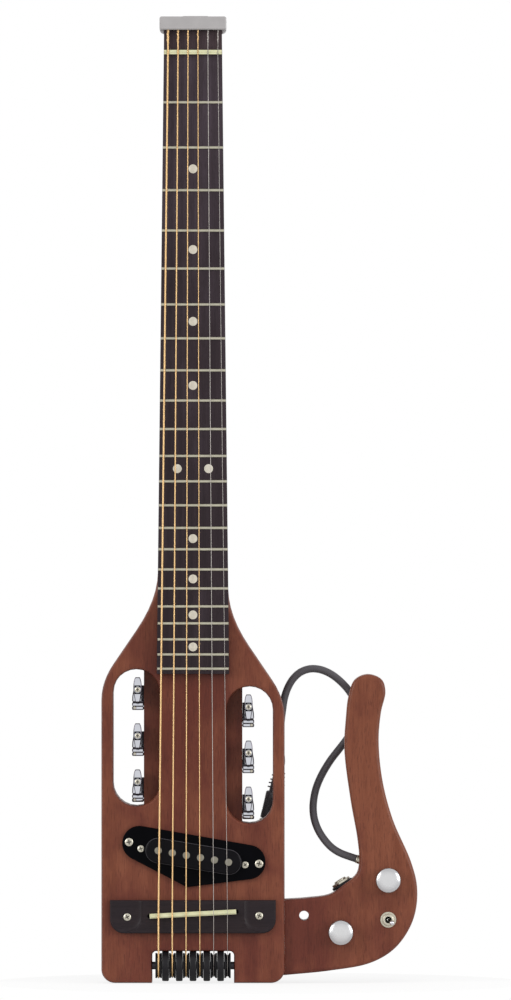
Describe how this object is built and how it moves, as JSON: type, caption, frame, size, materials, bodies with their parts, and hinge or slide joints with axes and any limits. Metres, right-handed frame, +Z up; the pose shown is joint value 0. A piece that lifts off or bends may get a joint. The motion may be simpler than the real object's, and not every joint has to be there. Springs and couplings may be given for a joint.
{
  "type": "travel guitar",
  "caption": "Headless travel guitar: neck and body in one, tuners in body openings, tail rollers, and a detachable curved lap rest with controls and a plug-in cord.",
  "frame": {"origin": "middle of the bottom of the guitar's box, where its flat lower edge stands", "axes": "+Z up along the neck, +Y from the front to the back, +X to the right seen from the front"},
  "size_m": [0.2328, 0.0558, 0.7116],
  "materials": {
    "wood": "satin oil over red-brown stained wood",
    "dark_wood": "smooth near-black fingerboard wood",
    "bone": "polished cream bone",
    "cast_cap": "satin grey casting",
    "chrome": "polished chrome plate",
    "steel": "polished steel",
    "plain_string": "bright drawn steel",
    "wound_string": "bronze winding",
    "gloss_black": "gloss black",
    "satin_black": "satin black",
    "piezo_strip": "braided metal strip",
    "cord_jacket": "dark grey jacket"
  },
  "bodies": {
    "guitar": {"body_and_neck": "wood", "fretboard": "dark_wood", "nut": "bone", "head_cap": "cast_cap", "bridge": "dark_wood", "saddle": "bone", "saddle_pickup": "piezo_strip", "pickup_plate": "gloss_black", "pickup": "satin_black", "roller_axle": "steel", "body_jack": "chrome", "string_1": "wound_string", "string_2": "wound_string", "string_3": "wound_string", "string_4": "wound_string", "string_5": "plain_string", "string_6": "plain_string", "spacer_disc_1": "satin_black", "spacer_disc_2": "satin_black", "spacer_disc_3": "satin_black", "spacer_disc_4": "satin_black", "spacer_disc_5": "satin_black", "tuner_housing_1": "chrome", "tuner_housing_2": "chrome", "tuner_housing_3": "chrome", "tuner_housing_4": "chrome", "tuner_housing_5": "chrome", "tuner_housing_6": "chrome", "cord": "cord_jacket", "cord_plug": "satin_black"},
    "tuner_button_1": {"tuner_button_1": "chrome"},
    "tuner_post_1": {"tuner_post_1": "chrome"},
    "tuner_button_2": {"tuner_button_2": "chrome"},
    "tuner_post_2": {"tuner_post_2": "chrome"},
    "tuner_button_3": {"tuner_button_3": "chrome"},
    "tuner_post_3": {"tuner_post_3": "chrome"},
    "tuner_button_4": {"tuner_button_4": "chrome"},
    "tuner_post_4": {"tuner_post_4": "chrome"},
    "tuner_button_5": {"tuner_button_5": "chrome"},
    "tuner_post_5": {"tuner_post_5": "chrome"},
    "tuner_button_6": {"tuner_button_6": "chrome"},
    "tuner_post_6": {"tuner_post_6": "chrome"},
    "string_roller_1": {"string_roller_1": "satin_black"},
    "string_roller_2": {"string_roller_2": "satin_black"},
    "string_roller_3": {"string_roller_3": "satin_black"},
    "string_roller_4": {"string_roller_4": "satin_black"},
    "string_roller_5": {"string_roller_5": "satin_black"},
    "string_roller_6": {"string_roller_6": "satin_black"},
    "lap_rest": {"lap_rest": "wood", "control_cover": "satin_black", "output_jack": "chrome", "volume_pot": "steel", "tone_pot": "steel", "switch_body": "steel", "cord_gland": "steel", "lap_rest_pin_1": "steel", "lap_rest_pin_2": "steel"},
    "volume_knob": {"volume_knob": "chrome"},
    "tone_knob": {"tone_knob": "chrome"},
    "switch_lever": {"switch_lever": "chrome"}
  },
  "joints": [
    {"name": "tuner_1_turn", "type": "hinge", "parent": "guitar", "child": "tuner_button_1", "pos_m": [-0.08983, 0.00912, 0.1481], "axis": [0, 1, 0], "continuous": true},
    {"name": "post_1_turn", "type": "hinge", "parent": "guitar", "child": "tuner_post_1", "pos_m": [-0.08983, 0.00912, 0.1401], "axis": [1, 0, 0], "continuous": true},
    {"name": "tuner_2_turn", "type": "hinge", "parent": "guitar", "child": "tuner_button_2", "pos_m": [-0.08983, 0.00912, 0.18205], "axis": [0, 1, 0], "continuous": true},
    {"name": "post_2_turn", "type": "hinge", "parent": "guitar", "child": "tuner_post_2", "pos_m": [-0.08983, 0.00912, 0.17405], "axis": [1, 0, 0], "continuous": true},
    {"name": "tuner_3_turn", "type": "hinge", "parent": "guitar", "child": "tuner_button_3", "pos_m": [-0.08983, 0.00912, 0.216], "axis": [0, 1, 0], "continuous": true},
    {"name": "post_3_turn", "type": "hinge", "parent": "guitar", "child": "tuner_post_3", "pos_m": [-0.08983, 0.00912, 0.208], "axis": [1, 0, 0], "continuous": true},
    {"name": "tuner_4_turn", "type": "hinge", "parent": "guitar", "child": "tuner_button_4", "pos_m": [-0.00804, 0.00912, 0.1354], "axis": [0, 1, 0], "continuous": true},
    {"name": "post_4_turn", "type": "hinge", "parent": "guitar", "child": "tuner_post_4", "pos_m": [-0.00804, 0.00912, 0.1274], "axis": [1, 0, 0], "continuous": true},
    {"name": "tuner_5_turn", "type": "hinge", "parent": "guitar", "child": "tuner_button_5", "pos_m": [-0.00804, 0.00912, 0.16935], "axis": [0, 1, 0], "continuous": true},
    {"name": "post_5_turn", "type": "hinge", "parent": "guitar", "child": "tuner_post_5", "pos_m": [-0.00804, 0.00912, 0.16135], "axis": [1, 0, 0], "continuous": true},
    {"name": "tuner_6_turn", "type": "hinge", "parent": "guitar", "child": "tuner_button_6", "pos_m": [-0.00804, 0.00912, 0.2033], "axis": [0, 1, 0], "continuous": true},
    {"name": "post_6_turn", "type": "hinge", "parent": "guitar", "child": "tuner_post_6", "pos_m": [-0.00804, 0.00912, 0.1953], "axis": [1, 0, 0], "continuous": true},
    {"name": "roller_1_turn", "type": "hinge", "parent": "guitar", "child": "string_roller_1", "pos_m": [-0.07431, -0.00857, 0.0126], "axis": [1, 0, 0], "continuous": true},
    {"name": "roller_2_turn", "type": "hinge", "parent": "guitar", "child": "string_roller_2", "pos_m": [-0.06416, -0.00857, 0.0126], "axis": [1, 0, 0], "continuous": true},
    {"name": "roller_3_turn", "type": "hinge", "parent": "guitar", "child": "string_roller_3", "pos_m": [-0.05401, -0.00857, 0.0126], "axis": [1, 0, 0], "continuous": true},
    {"name": "roller_4_turn", "type": "hinge", "parent": "guitar", "child": "string_roller_4", "pos_m": [-0.04386, -0.00857, 0.0126], "axis": [1, 0, 0], "continuous": true},
    {"name": "roller_5_turn", "type": "hinge", "parent": "guitar", "child": "string_roller_5", "pos_m": [-0.03371, -0.00857, 0.0126], "axis": [1, 0, 0], "continuous": true},
    {"name": "roller_6_turn", "type": "hinge", "parent": "guitar", "child": "string_roller_6", "pos_m": [-0.02356, -0.00857, 0.0126], "axis": [1, 0, 0], "continuous": true},
    {"name": "lap_rest_slide", "type": "slide", "parent": "guitar", "child": "lap_rest", "axis": [1, 0, 0], "range_m": [0, 0.03], "deforming": ["cord"]},
    {"name": "volume_knob_turn", "type": "hinge", "parent": "lap_rest", "child": "volume_knob", "pos_m": [0.09487, -0.01038, 0.0756], "axis": [0, 1, 0], "range_deg": [-150, 150]},
    {"name": "tone_knob_turn", "type": "hinge", "parent": "lap_rest", "child": "tone_knob", "pos_m": [0.05996, -0.01038, 0.0371], "axis": [0, 1, 0], "range_deg": [-150, 150]},
    {"name": "switch_throw", "type": "hinge", "parent": "lap_rest", "child": "switch_lever", "pos_m": [0.09496, -0.00978, 0.0464], "axis": [-0.6252, 0, -0.7804], "range_deg": [0, 36]}
  ],
  "couplings": [
    {"joint": "post_1_turn", "follows": "tuner_1_turn", "ratio": -0.071429},
    {"joint": "post_2_turn", "follows": "tuner_2_turn", "ratio": -0.071429},
    {"joint": "post_3_turn", "follows": "tuner_3_turn", "ratio": -0.071429},
    {"joint": "post_4_turn", "follows": "tuner_4_turn", "ratio": 0.071429},
    {"joint": "post_5_turn", "follows": "tuner_5_turn", "ratio": 0.071429},
    {"joint": "post_6_turn", "follows": "tuner_6_turn", "ratio": 0.071429},
    {"joint": "roller_1_turn", "follows": "tuner_1_turn", "ratio": 0.032357},
    {"joint": "roller_2_turn", "follows": "tuner_2_turn", "ratio": 0.031723},
    {"joint": "roller_3_turn", "follows": "tuner_3_turn", "ratio": 0.031116},
    {"joint": "roller_4_turn", "follows": "tuner_6_turn", "ratio": -0.030637},
    {"joint": "roller_5_turn", "follows": "tuner_5_turn", "ratio": -0.030145},
    {"joint": "roller_6_turn", "follows": "tuner_4_turn", "ratio": -0.02987}
  ]
}
